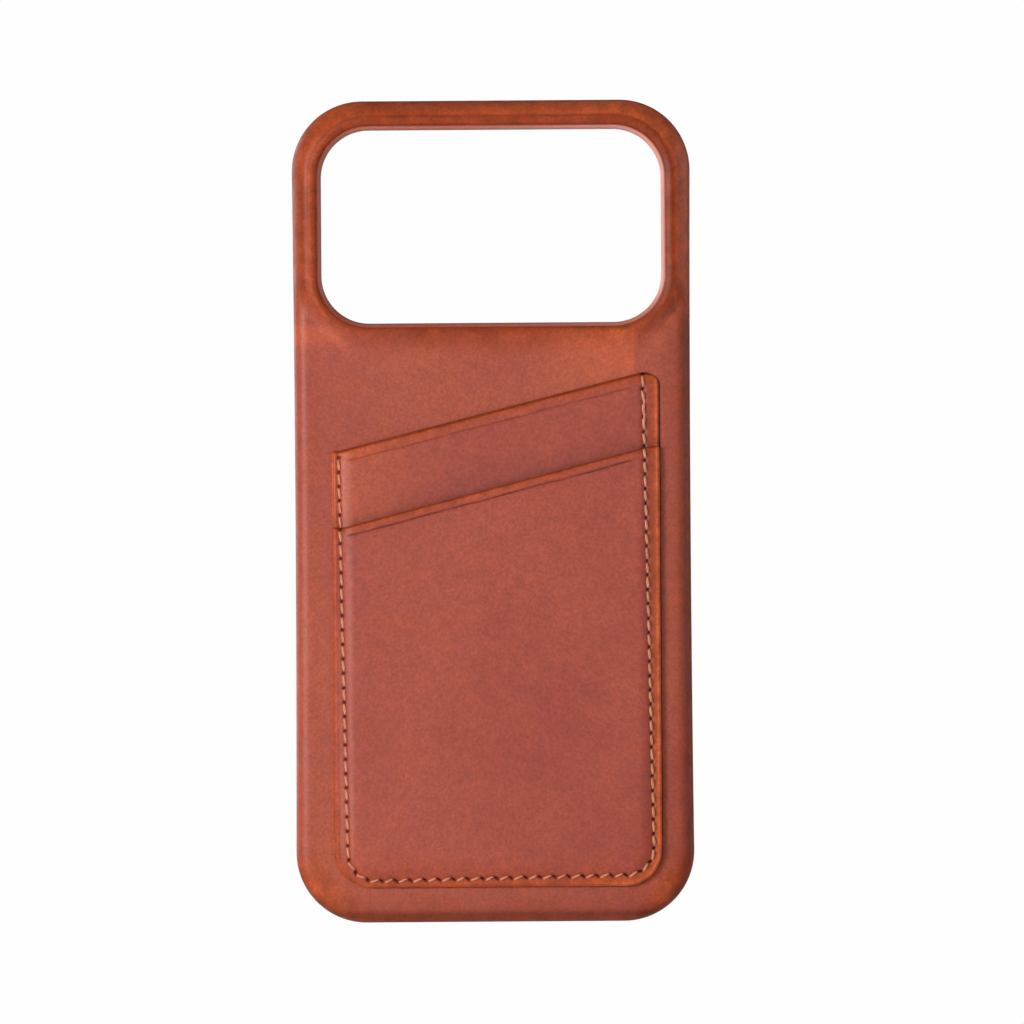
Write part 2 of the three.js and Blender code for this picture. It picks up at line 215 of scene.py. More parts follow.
def build(name, stacks, loop=False, **masks):
    """A mesh object from ring stacks in millimetres, with masks. Without loop each end gets a pole."""
    verts, quads, tris, start = [], [], [], 0
    for stack in stacks:
        rings, points, _ = stack.shape
        verts.append(stack.reshape(-1, 3))
        quads.append(grid_faces(rings, points, loop) + start)
        if not loop:
            first = np.arange(points)
            last = first + (rings - 1) * points
            pole = rings * points
            verts.append(np.stack([stack[0].mean(0), stack[-1].mean(0)]))
            following = np.roll(first, -1)
            foot = np.stack([following, first, np.full(points, pole)], 1)
            head = np.stack([last, np.roll(last, -1), np.full(points, pole + 1)], 1)
            tris.append(np.vstack([foot, head]) + start)
            start += 2
        start += rings * points
    verts = np.vstack(verts)
    faces = np.vstack(quads).tolist() + (np.vstack(tris).tolist() if tris else [])
    mesh = bpy.data.meshes.new(name)
    mesh.from_pydata((verts * MM).tolist(), [], faces)
    mesh.validate()
    mesh.update()
    mesh.shade_smooth()
    obj = bpy.data.objects.new(name, mesh)
    bpy.context.scene.collection.objects.link(obj)
    for label, mask in masks.items():
        store(obj, label, mask)
    return obj


def store(obj, label, function):
    """Stores a function of the vertices, in millimetres, as a number on each vertex."""
    mesh = obj.data
    co = np.empty(len(mesh.vertices) * 3)
    mesh.vertices.foreach_get("co", co)
    layer = mesh.attributes.new(label, "FLOAT", "POINT")
    layer.data.foreach_set("value", function(co.reshape(-1, 3) / MM).astype(np.float32))


def outward(obj):
    """Turns the faces out if the mesh's signed volume is negative, and returns the volume in mm3.

    That volume is a sixth of the sum of a dot (b cross c) over all triangles."""
    mesh = obj.data
    co = np.empty(len(mesh.vertices) * 3)
    mesh.vertices.foreach_get("co", co)
    co = co.reshape(-1, 3)
    mesh.calc_loop_triangles()
    tri = np.empty(len(mesh.loop_triangles) * 3, int)
    mesh.loop_triangles.foreach_get("vertices", tri)
    a, b, c = (co[tri.reshape(-1, 3)[:, i]] for i in range(3))
    volume = np.einsum("ij,ij->i", a, np.cross(b, c)).sum() / 6
    if volume < 0:
        mesh.flip_normals()
    return abs(volume) * 1e9


def dress(obj, material):
    """Gives a piece one finish in place of any it had."""
    obj.data.materials.clear()
    obj.data.materials.append(material)


def place(obj, material, nodes, body=BODY):
    """Gives a piece its finish, the CAD node it stands for and the body that it moves with."""
    dress(obj, material)
    volume = outward(obj)
    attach(obj, body)
    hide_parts(*nodes)
    print(f"{obj.name}: {len(obj.data.polygons)} faces, {volume:.0f} mm3")


# %% [markdown]
# ## Node helpers
# A shader is a chain of small nodes. These helpers add one node, set its values and join its inputs in
# a single call, which keeps each finish below short enough to read.

# %% Node helpers
def add(tree, kind, values=None, **settings):
    """Adds a node; values maps an input's name or number to a constant or to another node's output."""
    node = tree.nodes.new(kind)
    for key, value in settings.items():
        setattr(node, key, value)
    for key, value in (values or {}).items():
        if isinstance(value, bpy.types.NodeSocket):
            tree.links.new(value, node.inputs[key])
        else:
            node.inputs[key].default_value = value
    return node


def maths(tree, operation, a, b, clamp=False):
    """One sum of two values, held between 0 and 1 if clamped."""
    return add(tree, "ShaderNodeMath", {0: a, 1: b}, operation=operation, use_clamp=clamp).outputs[0]


def blend_colour(tree, factor, a, b):
    """Mixes colour a towards colour b."""
    return add(tree, "ShaderNodeMix", {0: factor, 6: a, 7: b}, data_type="RGBA").outputs[2]


def remap(tree, value, from_low, from_high, to_low, to_high):
    """Moves a value in a straight line from one range to another, held at both ends."""
    node = add(tree, "ShaderNodeMapRange", {0: value, 1: from_low, 2: from_high, 3: to_low, 4: to_high})
    return node.outputs[0]


def noise(tree, place_on, scale, detail=2.0, roughness=0.5):
    """Cloudy noise, about 0.3 to 0.7; the scale is how many clouds lie along a metre."""
    return add(tree, "ShaderNodeTexNoise",
               {"Vector": place_on, "Scale": scale, "Detail": detail, "Roughness": roughness}).outputs[0]


def bump(tree, height, strength, distance):
    """A normal that leans as if the surface rose by height times distance, in metres."""
    values = {"Strength": strength, "Distance": distance, "Height": height}
    return add(tree, "ShaderNodeBump", values).outputs[0]


def new_group(name, inputs, outputs):
    """A shader node group with named sockets; returns the group, its input node and its output node."""
    group = bpy.data.node_groups.new(name, "ShaderNodeTree")
    kinds = {"c": "NodeSocketColor", "f": "NodeSocketFloat", "v": "NodeSocketVector"}
    for label, kind in inputs:
        group.interface.new_socket(label, in_out="INPUT", socket_type=kinds[kind])
    for label, kind in outputs:
        group.interface.new_socket(label, in_out="OUTPUT", socket_type=kinds[kind])
    return group, group.nodes.new("NodeGroupInput"), group.nodes.new("NodeGroupOutput")


def use_group(tree, group, values):
    """Places a group in a material with its own values."""
    return add(tree, "ShaderNodeGroup", values, node_tree=group)


def new_material(name, **shader_values):
    """A material with a Principled shader whose plain numbers are set on its own sockets."""
    material = bpy.data.materials.new(name)
    material.use_nodes = True
    tree = material.node_tree
    shader = tree.nodes["Principled BSDF"]
    for key, value in shader_values.items():
        shader.inputs[key.replace("_", " ")].default_value = value
    place_on = tree.nodes.new("ShaderNodeTexCoord").outputs["Object"]
    return material, tree, shader, place_on


def srgb(r, g, b):
    """A colour in the 0 to 255 numbers of a screen, made linear for the shader."""
    c = np.array([r, g, b]) / 255
    linear = np.where(c <= 0.04045, c / 12.92, ((c + 0.055) / 1.055) ** 2.4)
    return (*linear.tolist(), 1.0)


# %% [markdown]
# ## Leather
# Waxed vegetable-tanned leather is dyed through and then oiled. Where it is bent or pressed the wax
# moves away and another tone shows, which tanners call pull-up. We build that once as a group: slow
# clouds of tone, a fine speckle, small pores as a bump, and four masks that each piece carries. Burnish
# is leather that is rubbed and pressed. Pull is leather that is stretched bright, together with painted
# light. Shade is painted shade in holes, lines and on sides turned from the light, and on a pocket also
# the dark of its rounded top edge. Paint is the pale dressing on a cut edge, with a painted highlight on
# it. Rubbed leather has lost its wax, so its gloss falls. The gloss is a thin coat over the leather,
# which can change from place to place.

# %% Leather group
# A bright tone for stretched leather and painted light, a dark tone for painted shade, and a pale pink
# for the edge dressing and its painted highlight.
STRETCHED, PRESSED, PAINTED = srgb(226, 106, 60), srgb(70, 14, 6), srgb(240, 164, 148)
BARE_GLOSS = 0.26                            # specular level of rubbed leather
WAX_GLOSS, WAX_ROUGHNESS = 0.64, 0.53        # weight and roughness of the wax coat where it is whole

leather_group, g_in, g_out = new_group(
    "waxed_leather",
    [("Place", "v"), ("Light", "c"), ("Deep", "c"), ("Warm", "c"), ("Burnish", "f"), ("Shade", "f"),
     ("Pull", "f"), ("Paint", "f"), ("Grain", "f")],
    [("Color", "c"), ("Roughness", "f"), ("Gloss", "f"), ("Normal", "v")])
t = leather_group
spot = g_in.outputs["Place"]
clouds = remap(t, noise(t, spot, 24.0, 2.0), 0.36, 0.64, 0.14, 0.86)
patches = remap(t, noise(t, spot, 150.0, 4.0, 0.6), 0.35, 0.65, -0.22, 0.22)
tone = maths(t, "ADD", clouds, patches, clamp=True)
body_colour = blend_colour(t, tone, g_in.outputs["Deep"], g_in.outputs["Light"])
handled = maths(t, "ADD", g_in.outputs["Burnish"], maths(t, "MULTIPLY", patches, 0.6), clamp=True)
warmed = blend_colour(t, handled, body_colour, g_in.outputs["Warm"])
# Leather drawn tight and painted light: this mask turns the colour towards the bright tone.
warmed = blend_colour(t, g_in.outputs["Pull"], warmed, STRETCHED)
speckle = remap(t, noise(t, spot, 1700.0, 3.0, 0.7), 0.3, 0.7, 0.8, 1.2)
fine = remap(t, noise(t, spot, 420.0, 2.0), 0.3, 0.7, 0.94, 1.06)
blotches = remap(t, noise(t, spot, 330.0, 4.0, 0.62), 0.35, 0.65, -0.2, 0.2)
mottle = maths(t, "ADD", 1.0, maths(t, "MULTIPLY", handled, blotches))
value = maths(t, "MULTIPLY", maths(t, "MULTIPLY", speckle, fine), mottle)
coloured = add(t, "ShaderNodeVectorMath", {0: warmed}, operation="SCALE")
t.links.new(value, coloured.inputs["Scale"])
# Painted shade: the shade mask darkens the colour towards the dark tone.
sunken = blend_colour(t, g_in.outputs["Shade"], coloured.outputs[0], PRESSED)
# Edge dressing with a painted highlight: its mask turns the colour pale pink.
painted = blend_colour(t, g_in.outputs["Paint"], sunken, PAINTED)
t.links.new(painted, g_out.inputs["Color"])
rough = remap(t, noise(t, spot, 260.0, 3.0), 0.3, 0.7, 0.47, 0.6)
rough = maths(t, "SUBTRACT", rough, maths(t, "MULTIPLY", handled, 0.08))
t.links.new(rough, g_out.inputs["Roughness"])
t.links.new(remap(t, handled, 0.0, 1.0, WAX_GLOSS, 0.0), g_out.inputs["Gloss"])
pores = add(t, "ShaderNodeTexVoronoi", {"Vector": spot, "Scale": 1500.0}).outputs["Distance"]
pits = remap(t, pores, 0.0, 0.35, 0.0, 1.0)
creasing = noise(t, spot, 700.0, 4.0, 0.6)
relief = maths(t, "ADD", maths(t, "MULTIPLY", pits, 0.35), creasing)
relief = maths(t, "MULTIPLY", relief, g_in.outputs["Grain"])
t.links.new(bump(t, relief, 0.5, 0.00006), g_out.inputs["Normal"])


def leather(name, light, deep, warm, grain):
    """Leather whose clouds run from deep to light, and whose burnished places turn warm."""
    material, tree, shader, place_on = new_material(
        name, IOR=1.46, Specular_IOR_Level=BARE_GLOSS, Coat_IOR=1.46, Coat_Roughness=WAX_ROUGHNESS)
    look = use_group(tree, leather_group, {
        "Place": place_on, "Light": light, "Deep": deep, "Warm": warm, "Grain": grain})
    for label in ("Burnish", "Shade", "Pull", "Paint"):
        stored = add(tree, "ShaderNodeAttribute", attribute_name=label.lower())
        tree.links.new(stored.outputs["Fac"], look.inputs[label])
    for socket, target in (("Color", "Base Color"), ("Roughness", "Roughness"),
                           ("Gloss", "Coat Weight"), ("Normal", "Normal")):
        tree.links.new(look.outputs[socket], shader.inputs[target])
    return material


cover_leather = leather("cover_leather", srgb(192, 91, 63), srgb(172, 74, 58), srgb(166, 68, 32), 1.0)
pocket_leather = leather("pocket_leather", srgb(182, 82, 62), srgb(168, 70, 57), srgb(184, 80, 44), 0.9)
print("leather group:", len(leather_group.nodes), "nodes")

# %% [markdown]
# ## The leather cover
# On the real case this is one piece of leather, drawn over the tray, its camera ridge and its lip. We
# follow the leather along a line from the window outwards: up the window's wall, over the ridge, across
# the back, round the edge, up the side and over the lip, and back underneath. Each step of that line is
# one ring round the case.

# %% Cover rings
BACK_Y = -2.5
RIM_FOOT = 2.7                               # how far the rim reaches from the window's edge
FOOT_DROP = 0.11                             # and how much lower its foot is than its top
FLAT_INSET = 3.2                             # the flat back starts this far inside the outer edge

rim_profile = smooth_profile([
    (0.00, -0.5), (0.0, -1.6), (0.04, -2.5), (0.18, -3.0), (0.44, -3.45), (0.78, -3.76),
    (1.02, -3.88), (1.32, -4.06), (1.70, -4.2), (2.05, RIM_Y + 0.01), (2.35, RIM_Y + 0.03),
    (RIM_FOOT, RIM_Y + FOOT_DROP)], 36)
roll_profile = smooth_profile([
    (FLAT_INSET, BACK_Y), (2.5, -2.44), (1.7, -2.18), (1.05, -1.7), (0.55, -1.05), (0.22, -0.25),
    (0.05, 0.8), (0.0, 1.9)], 22)
side_rows = np.linspace(2.6, 9.2, 12)
lip_profile = smooth_profile([(0.0, 9.3), (0.1, 9.75), (0.36, 10.02), (0.75, LIP_Y)], 8)

cover_rings = [window_ring(by, y) for by, y in rim_profile]
foot_ring = window_ring(RIM_FOOT, BACK_Y)
edge_ring = case_ring(FLAT_INSET, BACK_Y)
for part in np.linspace(0, 1, 26)[1:-1]:
    cover_rings.append(foot_ring * (1 - part) + edge_ring * part)
cover_rings += [case_ring(inset, y) for inset, y in roll_profile]
cover_rings += [case_ring(0.0, y) for y in side_rows]
cover_rings += [case_ring(inset, y) for inset, y in lip_profile]
lifted_rings = slice(len(rim_profile), len(cover_rings))
for part, y in ((0.5, LIP_Y), (0.85, LIP_Y), (1.0, LIP_Y - 0.12), (1.0, LIP_Y - 0.5)):
    cover_rings.append(case_ring(0.75, y) * (1 - part) + case_ring(0, y, APERTURE) * part)
outer_rings = len(cover_rings)
cover_rings += [case_ring(0, LIP_Y - 0.55, APERTURE), case_ring(0.75, LIP_Y - 0.55)]
cover_rings += [case_ring(-0.1, y, SHELL) for y in (9.3, 5.0, 1.4, 0.4)]
cover_rings += [case_ring(1.0, -1.0, SHELL), case_ring(2.4, -1.6, SHELL)]
inner_edge, inner_foot = case_ring(2.4, -1.6, SHELL), window_ring(1.9, -1.6)
for part in (0.3, 0.6, 0.9):
    cover_rings.append(inner_edge * (1 - part) + inner_foot * part)
cover_rings += [window_ring(1.9, -1.6), window_ring(1.9, -3.5), window_ring(0.8, -3.1),
                window_ring(0.8, -0.5)]
cover_stack = np.array(cover_rings)
print("cover rings and points:", cover_stack.shape[:2])

# %% [markdown]
# ## The rim and the waist
# The rings so far are flat steps. Two soft moves bring them to life: the leather climbs gently to the
# foot of the camera rim, where it was pulled over the ridge, and the long sides draw in at mid height.

# %% Lifting the rim and drawing in the sides
WAIST = 0.28                                 # the long sides draw in this much at mid height
WAIST_REACH = 70.0                           # and nothing this far above and below it


def draw_in_waist(points):
    """Moves the sides in by the waist times one minus the square of the height over the half height."""
    x, z = points[..., 0], points[..., 2]
    share = np.clip(1 - (z / WAIST_REACH) ** 2, 0, 1) * smoothstep(36.5, 40.0, np.abs(x))
    points[..., 0] = x - np.sign(x) * WAIST * share
    return points


def distance_inside(x, z, half_x, half_z, radius, centre_z=0.0):
    """Signed distance to a rounded rectangle, positive inside: the usual box formula with a radius."""
    qx = np.abs(x) - (half_x - radius)
    qz = np.abs(z - centre_z) - (half_z - radius)
    outside = np.hypot(np.maximum(qx, 0), np.maximum(qz, 0))
    return radius - outside - np.minimum(np.maximum(qx, qz), 0)


def lift_bars(points):
    """Raises the leather round the rim: full at the rim's foot, nothing at the reach.

    The reach is just past the outer edge beside and above the window, and 4.6 mm below it. The lift
    falls as one minus a smooth step of the distance from the window, over what it is at the foot."""
    x, z = points[..., 0], points[..., 2]
    away = -distance_inside(x, z, **WINDOW)
    bars = smoothstep(38, 46, z)
    start, reach = RIM_FOOT - 0.5 + 0.3 * bars, 4.6 + 1.7 * bars
    full = BACK_Y - (RIM_Y + FOOT_DROP)
    at_foot = 1 - smoothstep(start, reach, RIM_FOOT)
    points[..., 1] -= full * (1 - smoothstep(start, reach, away)) / at_foot
    return points


cover_stack[lifted_rings] = lift_bars(cover_stack[lifted_rings])
cover_stack[:outer_rings] = draw_in_waist(cover_stack[:outer_rings])
print("cover is", round(np.ptp(cover_stack[..., 0]), 2), "mm wide")

# %% [markdown]
# ## Where the cover is worn, and where light and shade are painted on it
# Hands and the press leave their marks in places that the shape decides: on the rim, on the rolled edge,
# at the corners and beside the window. Light and shade are painted into the masks as well: painted shade
# in the lines beside the rim and on the sides that turn from the key light, and painted light on the bars
# and in a sheen beside the window. So each mask is a sum of soft steps and bells of the distances to the
# window and to the outer edge. Hand painting would give the same look, but it would be tied to one mesh.

# %% Masks of the cover
def cover_burnish(verts):
    """High on the rim and on the rolled edge, most of all at the four corners, and none on the flats."""
    x, y, z = verts.T
    to_edge = distance_inside(x, z, CASE_X, CASE_Z, CASE_RADIUS)
    to_window = -distance_inside(x, z, **WINDOW)
    rim = smoothstep(0.6, 1.4, to_window) * (1 - smoothstep(2.2, 4.6, to_window))
    bars = smoothstep(40, 47, z)
    roll = 0.9 * np.exp(-(np.maximum(to_edge, 0) / 1.5) ** 2) + 0.3 * (1 - smoothstep(2, 8, to_edge))
    # Less burnished on the left roll, which stays paler there: a painted sheen on the side facing the key
    # light.
    roll *= 0.4 + 0.6 * smoothstep(-39, -34, x)
    corner = (1 - smoothstep(2.0, 11.0, to_edge)) * smoothstep(24, 38, np.abs(x)) * smoothstep(66, 78, -z)
    under_lip = smoothstep(8.5, 9.6, y)
    shelf = 1 - smoothstep(0.5, 0.9, to_window)
    worn = 0.85 * rim + roll + 0.75 * bars + 0.8 * corner + 0.4 * under_lip - shelf
    return np.clip(worn, 0, 1)


def cover_shade(verts):
    """Painted shade: dark lines where the rim drops into the window and in the pressed line on its top
    bar, and darker on its right bar and on the right and lower roll and flats, which turn from the key
    light, along the foot, and a little on the left bar.
    """
    x, y, z = verts.T
    to_edge = distance_inside(x, z, CASE_X, CASE_Z, CASE_RADIUS)
    to_window = -distance_inside(x, z, **WINDOW)
    inner = 0.45 * np.exp(-((to_window - 1.0) / 0.2) ** 2)
    broken = 0.6 + 0.4 * np.sin(x / 2.3) * np.sin(x / 5.1 + z / 3.7)
    outer = 0.4 * broken * smoothstep(74, 78, z) * np.exp(-((to_window - 2.75) / 0.18) ** 2)
    foot = 0.3 * np.exp(-((z + 82.2) / 0.7) ** 2) * (y < 0)
    lower = 1 - smoothstep(36, 42, z)
    # Painted shade on the right and lower roll, which turn away from the key light.
    turned_away = np.maximum(smoothstep(33, 37, x), 0.65 * smoothstep(78, 81, -z)) * lower
    roll = 0.22 * np.exp(-((to_edge - 1.2) / 1.5) ** 2) * turned_away
    flat = 0.13 * smoothstep(34, 35.5, x) * lower + 0.09 * smoothstep(74, 77.5, -z)
    right = smoothstep(10, 36, x) * (1 - lower)
    ridge = 0.24 * right * np.exp(-((to_window - 1.8) / 0.8) ** 2)
    left = 0.1 * smoothstep(34, 38, -x) * (1 - lower) * smoothstep(3.0, 3.8, to_window)
    return np.clip(inner + outer + foot + roll + flat + ridge + left, 0, 1)


def cover_pull(verts):
    """A lighter tone on the camera bars, under the window and at the lower corners, partly leather drawn
    tight and partly painted light: the bars lighten most towards the right and at the top, where the key
    light falls weakly, and a patch above the rear pocket's right end is a painted sheen.
    """
    x, _, z = verts.T
    to_window = -distance_inside(x, z, **WINDOW)
    to_edge = distance_inside(x, z, CASE_X, CASE_Z, CASE_RADIUS)
    on_bar = smoothstep(2.6, 3.4, to_window) * smoothstep(-0.3, 0.8, to_edge) * smoothstep(42, 50, z)
    top = smoothstep(66, 76, z)
    bars = on_bar * (0.38 * smoothstep(-34, 34, x) + 0.24 * top)
    bars += 0.3 * np.exp(-((to_window - 2.1) / 0.5) ** 2) * smoothstep(30, 35, -x) * smoothstep(36, 42, z)
    under = 0.45 * smoothstep(2.6, 3.6, to_window) * smoothstep(33, 35.5, z) * (1 - smoothstep(37, 39, z))
    # A painted sheen: a bright patch between the window's lower right corner and the rear pocket's top
    # right end.
    patch = smoothstep(5, 26, x) * (1 - smoothstep(28.7, 29.7, x)) * smoothstep(22, 30, z)
    patch *= (1 - smoothstep(36.4, 37.6, z)) * 0.5
    corner = 0.4 * smoothstep(28, 37, np.abs(x)) * smoothstep(70, 78, -z) * smoothstep(0.2, 1.5, to_edge)
    corner *= 1 - smoothstep(4.0, 9.0, to_edge)
    return np.clip(bars + corner + np.maximum(under * (x < 29.7), patch), 0, 1)


def cover_paint(verts):
    """The pale dressing on the cut edge inside the window, with a painted highlight that is strongest on
    the right wall, which faces the key light, and at the top.
    """
    x, _, z = verts.T
    to_window = -distance_inside(x, z, **WINDOW)
    # Stronger on the right and at the top: a painted highlight on the dressed edge.
    strength = (0.35 + 0.6 * smoothstep(-10, 30, x)) * (0.55 + 0.45 * smoothstep(39, 46, z))
    return strength * (1 - smoothstep(0.5, 0.85, to_window))


cover = build("leather_cover_skin", [cover_stack], loop=True, burnish=cover_burnish)

# %% [markdown]
# ## Cut-outs
# The keys, the camera control, the charging port and the speakers are slots with round ends. We punch
# them with one cutter. It widens like a bell at the leather's surface, so the cut edge comes out rolled
# in, as the real leather is turned round its slots.

# %% Slot cutters
KEY_Y = 4.375                                # depth of every slot's middle line
KEY_WIDTH = 2.6
KEY_GAP = 0.15                               # left open all round a key
# Each key: node, body, side (1 is right), height and length. The control slot: height, length, width.
# The charging port and the two speakers: place across, length, width.
KEYS = [("action_key", "action", 1, 48.0, 8.0), ("volume_up_key", "volume_up", 1, 35.7, 11.0),
        ("volume_down_key", "volume_down", 1, 22.0, 11.0), ("side_key", "side", -1, 28.5, 18.0)]
CONTROL_SLOT = (-27.5, 24.4, 5.0)
PORT_SLOTS = [(0.0, 13.5, 6.4), (-17.5, 12.5, 2.6), (17.5, 12.5, 2.6)]


def pill(length, width, points=64):
    """A slot outline: a half circle, a straight run, a half circle and a straight run."""
    turn = np.linspace(0, 2 * math.pi, points, endpoint=False)
    along = width / 2 * np.cos(turn)
    return np.stack([along + np.sign(along) * (length - width) / 2, width / 2 * np.sin(turn)], axis=1)


def pill_stack(length, width, profile, axis, centre):
    """Pill rings along one axis. Each row of the profile is (place on the axis, how much to grow)."""
    rings = []
    for where, by in profile:
        a, b = pill(length + 2 * by, width + 2 * by).T
        if axis == "x":
            rings.append(np.stack([np.full_like(a, where), centre[0] + b, centre[1] + a], axis=1))
        else:
            rings.append(np.stack([centre[1] + a, centre[0] + b, np.full_like(a, where)], axis=1))
    return np.array(rings)


def bell(outer, inner, flare=0.32):
    """Profile of a cutter: straight through the wall, then a quarter circle opening at the surface."""
    way_out = np.sign(outer)
    opening = [(outer - flare * (1 - math.sin(a)) * way_out, flare * (1 - math.cos(a)))
               for a in np.linspace(0, math.pi / 2, 6)]
    return [(inner, 0.0)] + opening + [(outer + 1.5 * way_out, flare + 0.02)]


def slot_cutters(reach_x, reach_z, grow, inner_x, inner_z, flare):
    """Every slot as one list of stacks, grown by a gap."""
    z, length, width = CONTROL_SLOT
    side_slots = [(side, z_key, size + 2 * KEY_GAP, KEY_WIDTH + 2 * KEY_GAP)
                  for _, _, side, z_key, size in KEYS] + [(-1, z, length, width)]
    stacks = [pill_stack(size + grow, wide + grow, bell(side * reach_x(at), side * inner_x, flare),
                         "x", (KEY_Y, at)) for side, at, size, wide in side_slots]
    stacks += [pill_stack(size + grow, wide + grow, bell(-reach_z, -inner_z, flare), "z", (KEY_Y, x))
               for x, size, wide in PORT_SLOTS]
    return stacks


def waist_x(z):
    """Where the side's surface is at a height: the half width less the waist."""
    return CASE_X - WAIST * max(0.0, 1 - (z / WAIST_REACH) ** 2)


def punch(obj, stacks):
    """Cuts the stacks out of a piece with a Boolean modifier and applies it."""
    cutter = build(obj.name + "_cutter", stacks)
    bm = bmesh.new()
    bm.from_mesh(cutter.data)
    bmesh.ops.recalc_face_normals(bm, faces=bm.faces)
    bm.to_mesh(cutter.data)
    bm.free()
    cut = obj.modifiers.new("slots", "BOOLEAN")
    cut.operation, cut.solver, cut.object = "DIFFERENCE", "EXACT", cutter
    depsgraph = bpy.context.evaluated_depsgraph_get()
    finished = bpy.data.meshes.new_from_object(obj.evaluated_get(depsgraph))
    obj.modifiers.clear()
    obj.data = finished
    bpy.data.objects.remove(cutter)


outward(cover)
punch(cover, slot_cutters(waist_x, CASE_Z, 0.0, 38.5, 81.0, 0.32))
for label, mask in (("shade", cover_shade), ("pull", cover_pull), ("paint", cover_paint)):
    store(cover, label, mask)
place(cover, cover_leather, ["leather_cover"])

# %% [markdown]
# ## The hard tray
# Under the leather is a thin moulded tray. It shows inside the case, round the lining and under the
# lip. It is the same kind of skin as the leather, so the same ring functions make it, only smaller.

# %% Tray material
tray_plastic, t, shader, place_on = new_material("tray_plastic", IOR=1.5)
mottle = remap(t, noise(t, place_on, 90.0, 3.0), 0.3, 0.7, 0.0, 1.0)
t.links.new(blend_colour(t, mottle, srgb(66, 36, 26), srgb(78, 43, 31)), shader.inputs["Base Color"])
t.links.new(remap(t, noise(t, place_on, 900.0, 2.0), 0.3, 0.7, 0.38, 0.5), shader.inputs["Roughness"])
t.links.new(bump(t, noise(t, place_on, 2600.0), 0.25, 0.00003), shader.inputs["Normal"])

# %% Tray rings
tray_rings = [window_ring(0.9, y) for y in (-0.5, -3.2)]
tray_rings += [window_ring(1.3, -3.6), window_ring(1.8, -3.4), window_ring(1.8, -1.5)]
start, end = window_ring(1.8, -1.5), case_ring(2.1, -1.5, SHELL)
tray_rings += [start * (1 - part) + end * part for part in (0.25, 0.5, 0.75)]
tray_rings += [case_ring(2.1 * (1 - math.sin(a)), 0.6 - 2.1 * math.cos(a), SHELL)
               for a in np.linspace(0, math.pi / 2, 6)]
tray_rings += [case_ring(0, y, SHELL) for y in (4.0, 9.0)] + [case_ring(0.3, 9.4, SHELL)]
tray_rings += [case_ring(0, y, APERTURE) for y in (9.45, 8.95)]
tray_rings += [case_ring(-0.1, 8.85, APERTURE), case_ring(0.0, 8.85, BAY), case_ring(0.0, 5.0, BAY)]
tray_rings += [case_ring(1.4 * (1 - math.cos(a)), 0.9 - 1.4 * math.sin(a), BAY)
               for a in np.linspace(0, math.pi / 2, 7)]
start, end = case_ring(1.5, -0.5, BAY), window_ring(1.2, -0.5)
tray_rings += [start * (1 - part) + end * part for part in (0.2, 0.5, 0.8, 1.0)]
tray = build("hard_tray", [np.array(tray_rings)], loop=True)
outward(tray)
punch(tray, slot_cutters(waist_x, CASE_Z, 0.02, 38.0, 80.0, 0.1))
place(tray, tray_plastic, ["hard_shell"])

# %% [markdown]
# ## Microfibre lining
# The phone lies on a soft sheet with a very short nap. Its cut edge is slightly rounded. The nap leans
# in different directions in patches, which gives the cloudy look of suede, so the group below mixes
# slow patches with very fine fibres and adds a little sheen.

# %% Lining material
nap_group, g_in, g_out = new_group(
    "short_nap", [("Place", "v"), ("Light", "c"), ("Deep", "c"), ("Fibre", "f")],
    [("Color", "c"), ("Normal", "v")])
t = nap_group
spot = g_in.outputs["Place"]
lean = remap(t, noise(t, spot, 60.0, 4.0, 0.6), 0.35, 0.65, 0.0, 1.0)
fibres = noise(t, spot, g_in.outputs["Fibre"], 3.0, 0.7)
shade = maths(t, "ADD", maths(t, "MULTIPLY", lean, 0.6), maths(t, "MULTIPLY", fibres, 0.5), clamp=True)
t.links.new(blend_colour(t, shade, g_in.outputs["Deep"], g_in.outputs["Light"]), g_out.inputs["Color"])
t.links.new(bump(t, fibres, 0.6, 0.0001), g_out.inputs["Normal"])


def nap(name, light, deep, fibre):
    """Napped cloth whose patches run from deep to light, with this many fibres to the metre."""
    material, tree, shader, place_on = new_material(
        name, Roughness=0.95, Sheen_Weight=0.35, Sheen_Roughness=0.5)
    values = {"Place": place_on, "Light": light, "Deep": deep, "Fibre": fibre}
    look = use_group(tree, nap_group, values)
    tree.links.new(look.outputs["Color"], shader.inputs["Base Color"])
    tree.links.new(look.outputs["Normal"], shader.inputs["Normal"])
    return material


microfibre = nap("microfibre", srgb(150, 106, 82), srgb(116, 78, 60), 2200.0)
slot_cloth = nap("slot_cloth", srgb(120, 80, 62), srgb(88, 56, 43), 3200.0)

# %% Lining sheet
LINING_INSET, LINING_HOLE = 1.2, 1.0         # how far it ends inside the bay and outside the window
LINING_GLUED_Y = -0.38                       # the side that is glued to the tray; the phone's is at 0
cut_edge = [(0.0, LINING_GLUED_Y), (0.0, -0.14), (0.05, -0.04), (0.16, 0.0)]
lining_rings = [case_ring(LINING_INSET + by, y, BAY) for by, y in cut_edge]
start, end = lining_rings[-1], window_ring(LINING_HOLE + cut_edge[-1][0], 0.0)
lining_rings += [start * (1 - part) + end * part for part in np.linspace(0, 1, 14)[1:-1]]
lining_rings += [window_ring(LINING_HOLE + by, y) for by, y in cut_edge[::-1]]
lining_rings += [(lining_rings[0] + lining_rings[-1]) / 2]
lining = build("back_lining_sheet", [np.array(lining_rings)], loop=True)
place(lining, microfibre, ["back_lining"])

for node in ("rear_pocket_lining", "front_pocket_lining", "rear_slot_floor"):
    dress(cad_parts[node], slot_cloth)

# %% [markdown]
# ## The card pockets
# Each pocket is a flat piece of leather with a slanted top. Its three sewn sides are skived thin before
# they are glued down, its edges are rounded and burnished, and a hot creaser draws a line just below
# the top edge. All of that is a height over the flat back, so one function of x and z says it.

